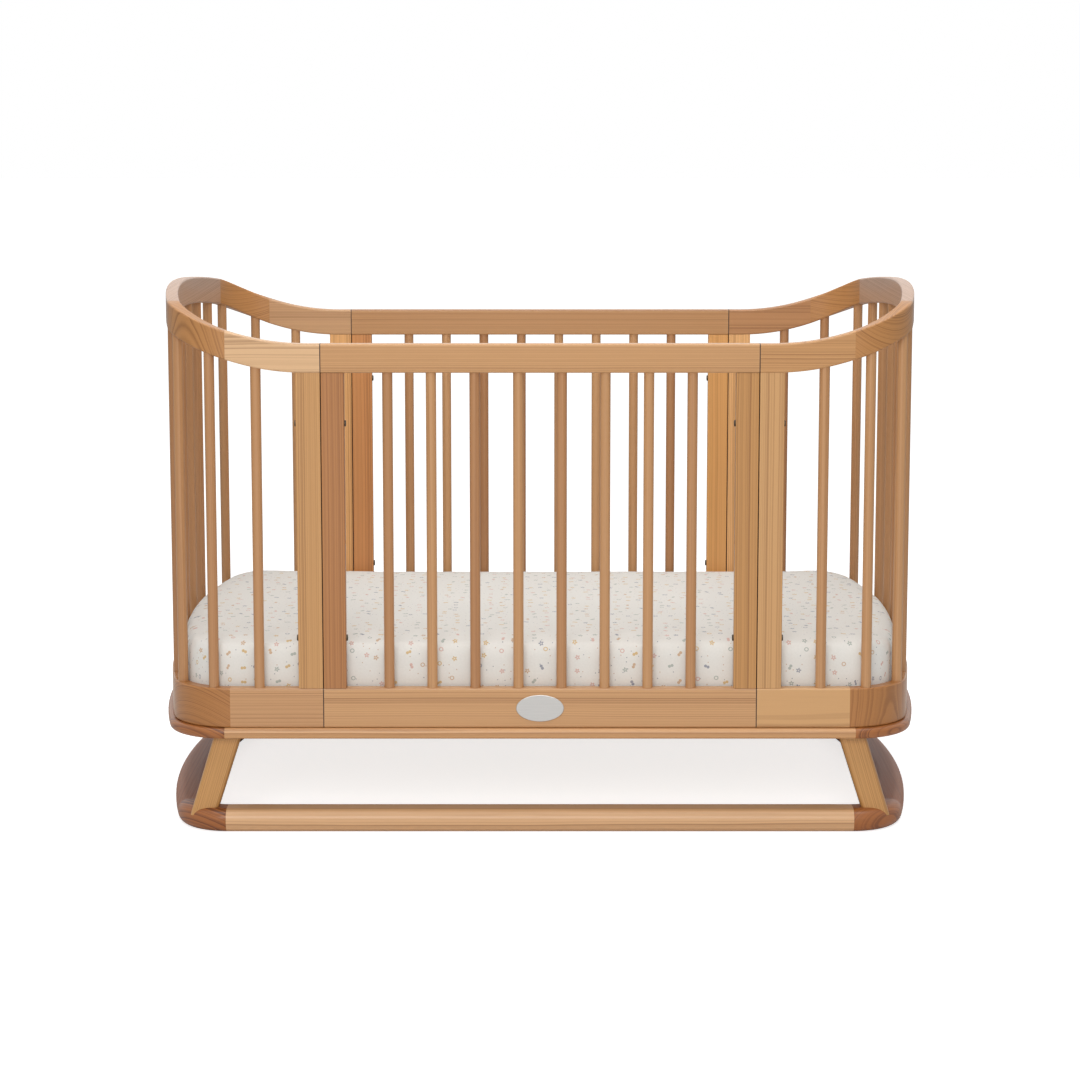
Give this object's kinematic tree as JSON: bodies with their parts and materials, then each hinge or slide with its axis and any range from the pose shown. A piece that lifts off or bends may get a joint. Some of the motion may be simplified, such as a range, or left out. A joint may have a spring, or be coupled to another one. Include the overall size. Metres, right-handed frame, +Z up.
{
  "type": "crib",
  "caption": "Wooden baby crib with rounded, raised ends, round spindles, a splayed-leg floor stand, a slatted base and a mattress in a fitted sheet.",
  "frame": {"origin": "centre of the bounding box on the floor", "axes": "+X along the length, +Y from the front panel to the back panel, +Z up; the front with the plate faces -Y"},
  "size_m": [1.3758, 0.782, 0.947],
  "materials": {
    "rail_wood": "satin clear lacquer on honey-toned solid wood",
    "corner_wood": "satin clear lacquer on honey-toned solid wood, cut across the grain",
    "spindle_wood": "satin clear lacquer on turned wood",
    "base_wood": "sanded plain softwood",
    "hardware_steel": "plated, satin",
    "plate_metal": "satin",
    "mattress_foam": "knitted cover",
    "sheet_cotton": "printed cotton, matt"
  },
  "bodies": {
    "frame": {"body_screws": "hardware_steel", "bottom_arms_left": "rail_wood", "bottom_arms_right": "rail_wood", "bottom_bow_left": "rail_wood", "bottom_bow_right": "rail_wood", "bottom_corners_left": "corner_wood", "bottom_corners_right": "corner_wood", "bottom_rail_back": "rail_wood", "bottom_rail_front": "rail_wood", "connector_bolts": "hardware_steel", "end_stile_back_left": "rail_wood", "end_stile_back_right": "rail_wood", "end_stile_front_left": "rail_wood", "end_stile_front_right": "rail_wood", "floor_bar_back": "corner_wood", "floor_bar_front": "corner_wood", "floor_bow_left": "corner_wood", "floor_bow_right": "corner_wood", "floor_corners_left": "corner_wood", "floor_corners_right": "corner_wood", "leg_back_left": "rail_wood", "leg_back_right": "rail_wood", "leg_bolts": "hardware_steel", "leg_front_left": "rail_wood", "leg_front_right": "rail_wood", "leg_screws": "hardware_steel", "oval_plate": "plate_metal", "panel_stile_back_left": "rail_wood", "panel_stile_back_right": "rail_wood", "panel_stile_front_left": "rail_wood", "panel_stile_front_right": "rail_wood", "platform_bar_back": "rail_wood", "platform_bar_front": "rail_wood", "platform_bow_left": "rail_wood", "platform_bow_right": "rail_wood", "platform_corners_left": "corner_wood", "platform_corners_right": "corner_wood", "sleeve_nuts": "hardware_steel", "spindles_back": "spindle_wood", "spindles_front": "spindle_wood", "spindles_left": "spindle_wood", "spindles_right": "spindle_wood", "top_arms_left": "rail_wood", "top_arms_right": "rail_wood", "top_bow_left": "rail_wood", "top_bow_right": "rail_wood", "top_corners_left": "corner_wood", "top_corners_right": "corner_wood", "top_rail_back": "rail_wood", "top_rail_front": "rail_wood"},
    "mattress_base": {"base_battens": "base_wood", "base_bearers": "base_wood", "base_end_board_left": "base_wood", "base_end_board_right": "base_wood", "base_slats": "base_wood"},
    "mattress": {"mattress": "mattress_foam", "fitted_sheet": "sheet_cotton"}
  },
  "joints": [
    {"name": "base_height", "type": "slide", "parent": "frame", "child": "mattress_base", "axis": [0, 0, 1], "range_m": [0, 0.315]},
    {"name": "mattress_lift", "type": "slide", "parent": "mattress_base", "child": "mattress", "axis": [0, 0, 1], "range_m": [0, 0.72]}
  ]
}
